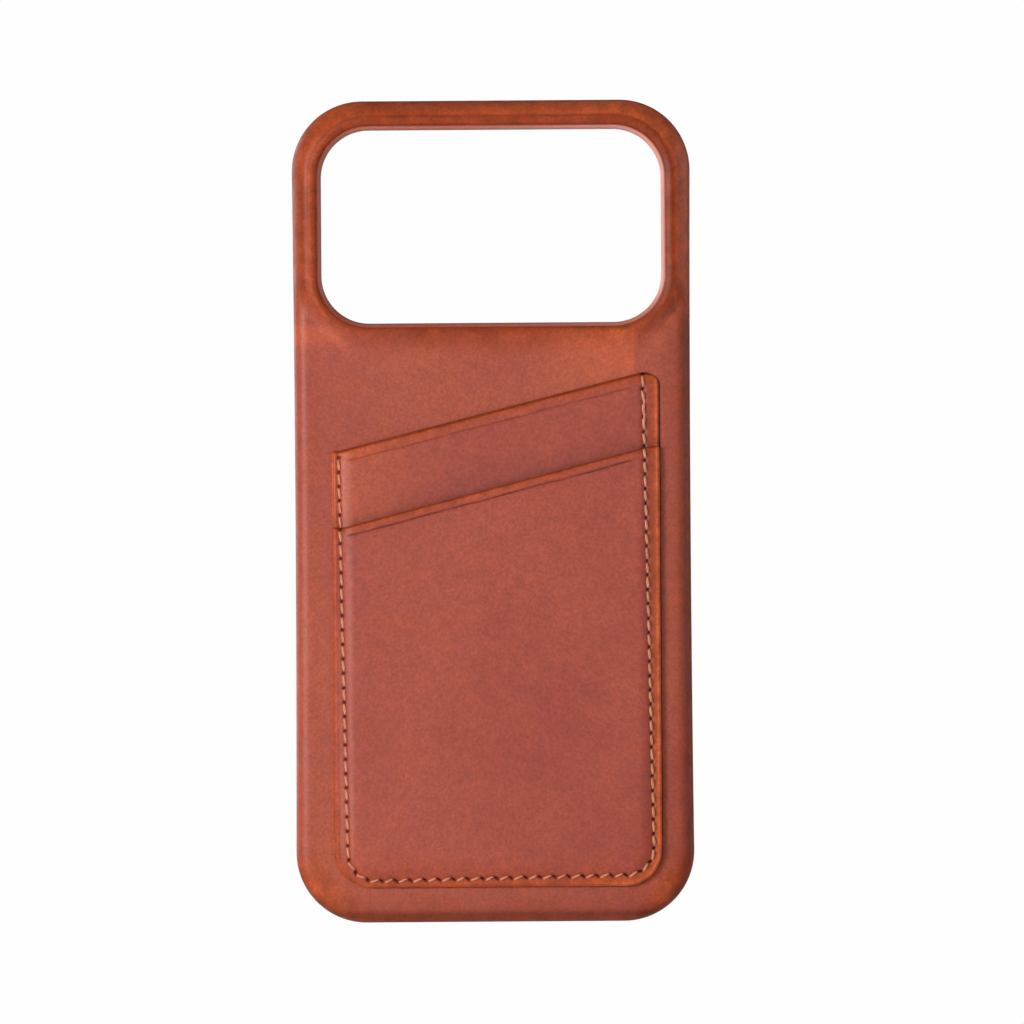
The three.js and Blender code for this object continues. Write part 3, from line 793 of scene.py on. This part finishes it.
# %% Pocket outlines
LEFT, RIGHT, BOTTOM, POCKET_RADIUS = -32.5, 33.9, -76.45, 7.2
REAR = dict(face=3.8, low=(-31.2, 12.2), high=(30.2, 27.7), right_top=28.0, corner=2.3, crease=2.13,
            jut=0.0, skive=0.68, pressed=0.13)
FRONT = dict(face=5.1, low=(-30.45, -3.3), high=(31.5, 12.7), right_top=13.0, corner=0.5, crease=1.75,
             jut=0.16, skive=1.15, pressed=0.22)
# Face is the height over the back's middle plane. Low and high are the ends of the slanted top. Jut is
# how much wider the sides are cut, skive how much the hem is thinned, pressed how deep the crease is.


def slope_of(panel):
    """How much the slanted top rises for each millimetre to the right."""
    return (panel["high"][1] - panel["low"][1]) / (panel["high"][0] - panel["low"][0])


def top_line(panel, x):
    """The straight slanted line, carried on to both sides."""
    return panel["low"][1] + slope_of(panel) * (x - panel["low"][0])


def top_edge(panel, x):
    """The real top edge: the slanted line between two nearly level shoulders."""
    return np.interp(x, [LEFT, panel["low"][0], panel["high"][0], RIGHT],
                     [panel["low"][1], panel["low"][1], panel["high"][1], panel["right_top"]])


def polygon_ring(corners, radii, arc_counts, edge_counts, inset):
    """A polygon with round corners, moved inwards. Corners run anticlockwise.

    A corner's arc is centred where its two sides, moved in by the inset and the radius, meet. The arc
    turns from one side's normal to the next, and straight runs join the arcs."""
    p = np.array(corners, float)
    along = np.roll(p, -1, axis=0) - p
    along /= np.linalg.norm(along, axis=1)[:, None]
    inward = np.stack([-along[:, 1], along[:, 0]], axis=1)
    arcs = []
    for i, corner in enumerate(p):
        n0, n1 = inward[i - 1], inward[i]
        radius = max(radii[i] - inset, 0.04)
        centre = corner + (inset + radius) * (n0 + n1) / (1 + n0 @ n1)
        a0 = math.atan2(-n0[1], -n0[0])
        turn = math.acos(np.clip(n0 @ n1, -1, 1))
        a = a0 + np.linspace(0, turn, arc_counts[i])
        arcs.append(centre + radius * np.stack([np.cos(a), np.sin(a)], axis=1))
    parts = []
    for i, arc in enumerate(arcs):
        step = np.linspace(0, 1, edge_counts[i] + 2)[1:-1, None]
        parts += [arc, arc[-1] * (1 - step) + arcs[(i + 1) % len(arcs)][0] * step]
    return np.vstack(parts)


def panel_ring(panel, inset):
    """The pocket's outline moved in, with the shoulders put back by a lift that fades in 3 mm."""
    corners = [(LEFT, BOTTOM), (RIGHT, BOTTOM)] + [(x, top_line(panel, x)) for x in (RIGHT, LEFT)]
    ring = polygon_ring(corners, [POCKET_RADIUS, POCKET_RADIUS, panel["corner"], 0.3],
                        [40, 40, 18, 8], [160, 250, 200, 220], inset - panel["jut"])
    x, z = ring.T
    below = np.maximum(top_line(panel, x) - z, 0)
    z = z + (top_edge(panel, x) - top_line(panel, x)) * np.exp(-below / 3.0)
    return np.stack([x, z], axis=1)


def side_distance(x, z):
    """How far a place is inside the three sewn sides, with the bottom corners rounded."""
    middle, half = (LEFT + RIGHT) / 2, (RIGHT - LEFT) / 2
    qx = np.abs(x - middle) - (half - POCKET_RADIUS)
    qz = BOTTOM + POCKET_RADIUS - z
    outside = np.hypot(np.maximum(qx, 0), np.maximum(qz, 0))
    return POCKET_RADIUS - outside - np.minimum(np.maximum(qx, qz), 0)


def top_distance(panel, x, z):
    """Distance below the top edge, square to its slant: the drop times the slant's cosine."""
    return (top_edge(panel, x) - z) * math.cos(math.atan(slope_of(panel)))


# %% [markdown]
# ## The seam's path
# One line of lockstitch goes down the left, round the bottom and up the right, sewn by hand and turned
# about one degree against the case. We sample the path densely once, and then look up any place on it
# by its length, which is how a stitch length is kept even round the corners.

# %% Seam path
SEAM_HALF, SEAM_BOTTOM, SEAM_RADIUS, SEAM_TURN = 31.2, -74.85, 5.7, math.radians(1.0)
LEFT_END, RIGHT_END = 11.1, 27.75            # heights where the seam starts and ends
STITCHES = 84


def seam_frame(x, z):
    """Turns places into the seam's own upright frame."""
    c, s = math.cos(SEAM_TURN), math.sin(SEAM_TURN)
    return x * c + z * s, z * c - x * s


def seam_distance(x, z):
    """Signed distance to the seam, positive outside the U."""
    a, b = seam_frame(x, z)
    qx = np.abs(a) - (SEAM_HALF - SEAM_RADIUS)
    qz = SEAM_BOTTOM + SEAM_RADIUS - b
    outside = np.hypot(np.maximum(qx, 0), np.maximum(qz, 0))
    return outside + np.minimum(np.maximum(qx, qz), 0) - SEAM_RADIUS


side = SEAM_HALF - SEAM_RADIUS
foot = SEAM_BOTTOM + SEAM_RADIUS
turning = np.linspace(0, math.pi / 2, 60)
left_top = seam_frame(-31.3, LEFT_END)[1]
right_top = seam_frame(30.6, RIGHT_END)[1]
path = np.vstack([
    [[-SEAM_HALF, left_top]],
    np.stack([-side - SEAM_RADIUS * np.cos(turning), foot - SEAM_RADIUS * np.sin(turning)], axis=1),
    np.stack([side + SEAM_RADIUS * np.sin(turning), foot - SEAM_RADIUS * np.cos(turning)], axis=1),
    [[SEAM_HALF, right_top]]])
cos_turn, sin_turn = math.cos(SEAM_TURN), math.sin(SEAM_TURN)
path = np.stack([path[:, 0] * cos_turn - path[:, 1] * sin_turn,
                 path[:, 0] * sin_turn + path[:, 1] * cos_turn], axis=1)
path_length = np.concatenate([[0], np.cumsum(np.linalg.norm(np.diff(path, axis=0), axis=1))])
SEAM_LENGTH = path_length[-1]
PITCH = SEAM_LENGTH / STITCHES
print("seam", round(SEAM_LENGTH, 1), "mm, stitch", round(PITCH, 2), "mm")


def on_seam(s):
    """Place and unit direction at length s along the seam, beyond its ends too."""
    def at(v):
        inside = np.clip(v, 0, SEAM_LENGTH)
        return np.stack([np.interp(inside, path_length, path[:, k]) for k in (0, 1)], axis=-1)
    here = at(s)
    middle = np.clip(s, 0.05, SEAM_LENGTH - 0.05)
    direction = at(middle + 0.05) - at(middle - 0.05)
    direction /= np.linalg.norm(direction, axis=-1, keepdims=True)
    over = s - np.clip(s, 0, SEAM_LENGTH)
    return here + direction * over[..., None], direction


rng = np.random.default_rng(7)
hole_s = np.arange(STITCHES + 1) * PITCH + rng.uniform(-0.07, 0.07, STITCHES + 1)
hole_at, hole_along = on_seam(hole_s)
hole_flat = np.abs(hole_along[:, 0])         # 1 on the bottom, 0 on the legs
hole_lean = np.radians(35) * hole_flat + np.radians(18) * (1 - hole_flat)


# %% [markdown]
# ## Everything pressed into the pockets
# Skived hems, the ditch that the thread lies in, stitch holes and the creased line are all small changes
# of height on one face. So we add them up as bells and steps of distances. A few hundred rings across
# the hem would cost too many faces, so the rings lie close together only near the edge.

# %% Heights over the back
def hole_depth(x, z, size=1.0):
    """Depth of the stitch holes: nearly round bells on the legs, and long leaning slits at the foot.

    Only the holes near a place matter, so places near the seam are taken out first."""
    depth = np.zeros(x.shape)
    near = np.abs(seam_distance(x, z)) < 1.4
    if not near.any():
        return depth
    px, pz = x[near][:, None], z[near][:, None]
    dx, dz = px - hole_at[:, 0], pz - hole_at[:, 1]
    c, s = np.cos(hole_lean), np.sin(hole_lean)
    ux = hole_along[:, 0] * c + hole_along[:, 1] * s         # the slit's long way, leaned over
    uz = hole_along[:, 1] * c - hole_along[:, 0] * s
    long_way = dx * ux + dz * uz
    short_way = -dx * uz + dz * ux
    long_reach, short_reach = 0.34 + 0.3 * hole_flat, 0.31 - 0.06 * hole_flat
    bells = np.exp(-(long_way / (size * long_reach)) ** 2 - (short_way / (size * short_reach)) ** 2)
    depth[near] = bells.max(axis=1)
    return depth


def waves(x, z):
    """Slow unevenness of leather: three crossing sine waves of a few centimetres."""
    return (np.sin(x / 7.3 + z / 19.0 + 0.6) + np.sin(z / 9.1 - x / 23.0 + 2.1)
            + 0.6 * np.sin((x + z) / 4.9)) * 0.018


def crease_line(panel, x, z):
    """Signed distance to the creased line below the top edge, with the small wobble of a hand tool."""
    wobble = 0.05 * np.sin(x / 3.1 + panel["face"]) + 0.03 * np.sin(x / 1.3)
    return top_distance(panel, x, z) - panel["crease"] + wobble


def crease_ends(x):
    """The creased line fades out just short of the seam on both sides."""
    return smoothstep(-30.2, -28.6, x) * (1 - smoothstep(27.2, 29.6, x))


def face_height(panel, x, z, roll=True):
    """Height of a pocket's outer face over the middle plane of the back.

    The flat face, less a skive that thins the sewn sides, less the stitch ditch with its holes, less
    the creased line, less a quarter circle where the edge is rounded off."""
    sides, top = side_distance(x, z), top_distance(panel, x, z)
    height = panel["face"] + waves(x, z)
    height -= panel["skive"] * (1 - smoothstep(0.6, 4.4, sides)) ** 1.3
    to_seam = np.abs(seam_distance(x, z))
    height -= 0.2 * np.exp(-(to_seam / 0.6) ** 2)
    height -= 0.5 * hole_depth(x, z)
    line = crease_line(panel, x, z)
    height -= panel["pressed"] * np.exp(-(line / 0.15) ** 2) * crease_ends(x)
    height += 0.06 * np.exp(-((line - 0.36) / 0.22) ** 2) * crease_ends(x)
    height -= 0.10 * np.exp(-np.maximum(top, 0) / 0.7)
    if roll:
        edge = np.clip(np.minimum(sides, top), 0, None)
        radius = 0.42
        height -= radius - np.sqrt(np.maximum(radius**2 - np.maximum(radius - edge, 0) ** 2, 0))
    return height


def under_height(panel, x, z):
    """Height of a pocket's underside: glued down at the hem, and lifted for the card within it."""
    inside = smoothstep(2.9, 3.5, side_distance(x, z))
    if panel is REAR:
        return 2.55 + 0.55 * inside
    resting = face_height(REAR, x, z, roll=False) + 0.03
    return resting * (1 - inside) + 4.42 * inside


# %% [markdown]
# ## Building the two pockets
# A pocket is one closed skin: over the face, round the cut edge and back under. Its masks use the same
# distances as its heights, so the painted shade of a hole always lies in the hole.

# %% Pocket panels
def panel_stack(panel):
    """Rings from the middle of the face to its edge, down the edge, and back under to the middle.

    The rear pocket ends in a thin bead of edge dressing, which lies on the back just outside its edge;
    towards the right, and more faintly along the bottom, the bead carries a painted contact shadow."""
    middle = np.array([(LEFT + RIGHT) / 2, (BOTTOM + panel["low"][1]) / 2])
    fine = np.concatenate([[0.0, 0.02, 0.06, 0.12, 0.2, 0.3], np.arange(0.42, 4.3, 0.12)])
    widest = panel_ring(panel, fine[-1])
    face_rings = [middle + (widest - middle) * f for f in np.linspace(0.04, 1, 26)[:-1]]
    face_rings += [panel_ring(panel, inset) for inset in fine[::-1]]
    stack = [at_height(ring, -face_height(panel, *ring.T)) for ring in face_rings]
    bead = 0.34 if panel is REAR else 0.0
    for inset, above in ((0.0, 0.22), (-0.3 * bead, 0.06), (-bead, 0.01), (-bead, -0.02), (0.22, 0.0),
                         (1.5, 0.0), (2.9, 0.0), (3.15, 0.0), (3.5, 0.0), (4.5, 0.0)):
        ring = panel_ring(panel, inset)
        stack.append(at_height(ring, -(under_height(panel, *ring.T) + above)))
    for f in np.linspace(0, 0.9, 7)[::-1]:
        ring = middle + (widest - middle) * max(f, 0.04)
        stack.append(at_height(ring, -under_height(panel, *ring.T)))
    return np.array(stack)


def panel_burnish(panel):
    def worn(verts):
        """Strong on the rounded edges, less in the band above the creased line and along the seam."""
        x, _, z = verts.T
        sides, top = side_distance(x, z), top_distance(panel, x, z)
        edge = np.exp(-(np.clip(np.minimum(sides, top), 0, None) / 0.6) ** 2)
        # Less burnished on the left edges, which stay paler: a painted sheen on the side facing the key
        # light.
        edge *= 0.5 + 0.5 * np.maximum(smoothstep(-31, -20, x), sides > top)
        band = 0.4 * (1 - smoothstep(panel["crease"] - 0.2, panel["crease"] + 0.1, top))
        hem = (0.25 + 0.25 * smoothstep(-20, 20, x)) * (1 - smoothstep(0.8, 3.4, sides))
        low = 0.35 * (1 - smoothstep(1.5, 9.0, sides)) * smoothstep(55, 70, -z)
        return np.clip(edge + band + hem + low, 0, 1)
    return worn


def panel_shade(panel):
    def dark(verts):
        """Painted shade in the stitch holes and in the creased line, whose dark is partly its pressing;
        the dark rounded top edge; and on the rear pocket painted shade under the pocket in front and a
        painted contact shadow on the bead.
        """
        x, _, z = verts.T
        top = top_distance(panel, x, z)
        broken = 0.75 + 0.25 * np.sin(x / 1.9) * np.sin(x / 4.3 + 1.0)
        line = np.exp(-(crease_line(panel, x, z) / 0.13) ** 2) * crease_ends(x) * broken
        line *= 0.5 if panel is REAR else 0.95
        rolled = 0.5 * np.exp(-np.maximum(top, 0) / 0.16)
        tucked = 0.0
        if panel is REAR:
            over = np.maximum(-top_distance(FRONT, x, z), 0)
            beyond = smoothstep(0.02, 0.08, -side_distance(x, z)) * smoothstep(0, 30, x)
            # Painted shade under the front pocket's top edge, and a painted contact shadow on the bead.
            tucked = 0.34 * np.exp(-over / 2.2) + 0.65 * beyond * (1 - 0.6 * smoothstep(66, 74, -z))
        return np.clip(np.maximum(hole_depth(x, z, 0.95) * 1.5, line) + rolled + tucked, 0, 1)
    return dark


def panel_pull(panel):
    def stretched(verts):
        """Bright along the rounded right edge, and towards the left end of the rear pocket."""
        x, _, z = verts.T
        sides = side_distance(x, z) + panel["jut"]
        edge = 0.75 * np.exp(-((sides - 0.4) / 0.4) ** 2) + 0.22 * (1 - smoothstep(1.6, 2.8, sides))
        edge *= smoothstep(15, 30, x)
        left = 0.35 * (1 - smoothstep(-31, -8, x)) if panel is REAR else 0.0
        return np.clip(edge + left, 0, 1)
    return stretched


for name, panel in (("rear_pocket", REAR), ("front_pocket", FRONT)):
    pocket = build(name, [panel_stack(panel)], burnish=panel_burnish(panel),
                   shade=panel_shade(panel), pull=panel_pull(panel))
    place(pocket, pocket_leather, [name + "_panel"])

# %% [markdown]
# ## Stitches
# The thread is three plies twisted together. Each stitch comes out of a hole, lies on the leather with a
# slight slant, and goes down the next hole. We make one tube per stitch, whose section has three
# lobes that turn as they go along, so the twist is in the shape and not only in the colour.

# %% Thread material
waxed_thread, t, shader, place_on = new_material("waxed_thread", IOR=1.45)
# Painted shade in the hollows between the plies, from a mask stored on the stitches.
ply = add(t, "ShaderNodeAttribute", attribute_name="burnish").outputs["Fac"]
tint = remap(t, noise(t, place_on, 500.0, 3.0), 0.3, 0.7, 0.0, 1.0)
thread_colour = blend_colour(t, tint, srgb(220, 136, 98), srgb(238, 166, 130))
t.links.new(blend_colour(t, ply, thread_colour, srgb(140, 60, 44)), shader.inputs["Base Color"])
t.links.new(remap(t, tint, 0.0, 1.0, 0.5, 0.65), shader.inputs["Roughness"])
t.links.new(bump(t, noise(t, place_on, 3000.0), 0.4, 0.00004), shader.inputs["Normal"])

# %% Stitch geometry
THREAD_RADIUS = 0.3
AROUND, ALONG = 12, 15
part_way = np.linspace(0, 1, ALONG)
around = np.linspace(0, 2 * math.pi, AROUND, endpoint=False)[None, :]
ply_wave = np.cos(3 * (around - 5.2 * part_way[:, None]))      # 1 on top of a ply, -1 between two


def surface_height(x, z):
    """Outer face under a place: the front pocket's, or above its top edge the rear pocket's."""
    over = smoothstep(-0.25, 0.25, top_distance(FRONT, x, z))
    rear = face_height(REAR, x, z, roll=False)
    front = face_height(FRONT, x, z, roll=False)
    return rear * (1 - over) + front * over


def stitch(start, end, lean, sink=0.36, rise=0.2, shift=0.0, radius=THREAD_RADIUS):
    """One stitch as a stack of rings.

    Its middle line runs along the seam from start to end while it moves across by the lean, and its
    height over the leather is minus sink at the holes and plus rise between them, by a sine. The
    section's radius is the thread's, times one plus a cosine of three times the turned angle."""
    s = start + (end - start) * part_way
    here, along = on_seam(s)
    across = np.stack([-along[:, 1], along[:, 0]], axis=1)
    here = here + across * ((part_way - 0.5) * lean + shift)[:, None]
    arch = np.sin(math.pi * part_way) ** 0.45
    height = surface_height(*here.T) - sink + (sink + rise) * arch
    height = np.maximum(height, height[[0, -1]].min())
    r = radius * (1 + 0.13 * ply_wave) * (0.66 + 0.34 * arch[:, None])
    sideways, up = r * np.cos(around), r * np.sin(around) * 0.85
    x = here[:, 0, None] + across[:, 0, None] * sideways
    z = here[:, 1, None] + across[:, 1, None] * sideways
    return np.stack([x, -(height[:, None] + up), z], axis=-1)


stitches = []
for i in range(STITCHES):
    flat = (hole_flat[i] + hole_flat[i + 1]) / 2
    lean = 0.8 * flat + 0.26 * (1 - flat)
    gap = 0.22 + 0.28 * flat
    stitches.append(stitch(hole_s[i] + gap, hole_s[i + 1] - gap, lean,
                           radius=THREAD_RADIUS - 0.06 * flat))

# The seam ends with a few stitches sewn twice, just above the front pocket's corner.
for i in range(STITCHES - 4, STITCHES - 2):
    stitches.append(stitch(hole_s[i] + 1.0, hole_s[i + 1] + 0.8, -0.3,
                           rise=0.36, shift=-0.1, radius=0.26))
print("stitches:", len(stitches))


def ply_shade(verts):
    """Painted shade between the plies: the hollows of each ring, repeated for every stitch; poles stay
    light.
    """
    hollow = np.clip(1 - (1 + ply_wave.reshape(-1)) / 1.1, 0, 1) * 0.5
    one = np.concatenate([hollow, [0, 0]])
    return np.tile(one, len(verts) // len(one))


seam = build("seam_stitches", stitches, burnish=ply_shade)
place(seam, waxed_thread, ["needle_thread"])
dress(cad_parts["bobbin_thread"], waxed_thread)

# %% [markdown]
# ## Keys
# The four side keys are small metal caps with softly rounded rims and a face that is very slightly
# domed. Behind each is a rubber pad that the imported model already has. Each cap rides on its own body,
# so it travels in when it is pressed.

# %% Key finishes
key_metal, t, shader, place_on = new_material("key_metal", Metallic=1.0)
cast = remap(t, noise(t, place_on, 60.0), 0.3, 0.7, 0.0, 1.0)
t.links.new(blend_colour(t, cast, srgb(166, 112, 88), srgb(178, 124, 98)), shader.inputs["Base Color"])
blasted = noise(t, place_on, 4200.0, 2.0)
t.links.new(remap(t, blasted, 0.3, 0.7, 0.28, 0.42), shader.inputs["Roughness"])
t.links.new(bump(t, blasted, 0.3, 0.00001), shader.inputs["Normal"])

pad_rubber, t, shader, place_on = new_material("pad_rubber", Specular_IOR_Level=0.35)
dust = remap(t, noise(t, place_on, 700.0, 3.0), 0.35, 0.7, 0.0, 1.0)
t.links.new(blend_colour(t, dust, srgb(44, 30, 26), srgb(62, 45, 39)), shader.inputs["Base Color"])
t.links.new(remap(t, dust, 0.0, 1.0, 0.7, 0.9), shader.inputs["Roughness"])

# %% Key caps
KEY_INNER = 39.62                            # where a cap meets its pad
RIM_ROUND = 0.28                             # radius of the rounded rim
FACE_BOW = 0.05                              # how far the face bows out beyond its rim


def key_cap(side, z, length):
    """Pill rings from the pad outwards; the rim is a quarter circle, and the face bows a little."""
    face = waist_x(z)
    profile = [(KEY_INNER, -0.12), (KEY_INNER + 0.1, 0.0)]
    profile += [(face - FACE_BOW - RIM_ROUND * (1 - math.sin(a)), -RIM_ROUND * (1 - math.cos(a)))
                for a in np.linspace(0, math.pi / 2, 7)]
    profile += [(face - 0.03, -0.6), (face - 0.005, -1.0), (face, -1.25)]
    return pill_stack(length, KEY_WIDTH, [(side * x, by) for x, by in profile], "x", (KEY_Y, z))


for node, body, side, z, length in KEYS:
    cap = build(node + "_cap", [key_cap(side, z, length)])
    place(cap, key_metal, [node], body)
    dress(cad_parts[node + "_pad"], pad_rubber)

# %% [markdown]
# ## Studio
# The main light stands to the left of the camera and models the rim and the pockets. Weaker ones fill in
# from the front, from the right and along both walls. They stand in a pale round studio whose floor
# curves up into its wall far away, so that no edge shows behind the case. The floor glows only for the
# camera, which keeps it pale without washing the leather out.

# %% Floor
FLOOR_Z = -500.0
PALE = (0.9, 0.9, 0.9, 1.0)
WHITE = (1.0, 1.0, 1.0, 1.0)
turn = np.linspace(0, 2 * math.pi, 96, endpoint=False)
floor_profile = smooth_profile(
    [(60, 0), (1500, 0), (2500, 160), (3100, 800), (3250, 1800), (3300, 4200)], 40)
floor_stack = np.array([at_height(r * np.stack([np.cos(turn), np.sin(turn)], axis=1), FLOOR_Z + h)
                        for r, h in floor_profile])[:, :, [0, 2, 1]]
floor = build("studio_floor", [floor_stack])
outward(floor)
floor.data.flip_normals()
floor_paint, t, shader, place_on = new_material("floor_paint", Roughness=0.9, Base_Color=PALE)
seen = add(t, "ShaderNodeLightPath").outputs["Is Camera Ray"]
glow = add(t, "ShaderNodeEmission", {"Color": WHITE, "Strength": 0.99})
shown = add(t, "ShaderNodeMixShader", {0: seen, 1: shader.outputs[0], 2: glow.outputs[0]})
t.links.new(shown.outputs[0], t.nodes["Material Output"].inputs["Surface"])
floor.data.materials.append(floor_paint)
print("floor rings:", len(floor_stack))


# %% Lights
def soft_light(name, where, size, watts):
    """A square area light that faces the middle of the case; where and size are in metres."""
    data = bpy.data.lights.new(name, "AREA")
    data.size, data.energy = size, watts
    light = bpy.data.objects.new(name, data)
    light.location = where
    light.rotation_euler = mathutils.Vector(where).to_track_quat("Z", "Y").to_euler()
    bpy.context.scene.collection.objects.link(light)
    print(name, "light:", watts, "W")


soft_light("key", (-0.74, -0.74, 0.14), 0.36, 7.6)
soft_light("front_fill", (-0.35, -1.5, 0.1), 0.8, 2.6)
soft_light("right_fill", (1.2, -0.8, 0.1), 0.8, 1.6)
soft_light("side_fill", (1.4, 0.35, 0.3), 0.8, 3.2)
soft_light("back_fill", (-1.1, 1.2, 0.3), 0.9, 6.0)

world = bpy.data.worlds.new("studio_air")
bpy.context.scene.world = world
world.use_nodes = True
air = world.node_tree.nodes["Background"]
air.inputs["Color"].default_value = WHITE
air.inputs["Strength"].default_value = 0.32
bpy.context.scene.view_settings.view_transform = "Standard"
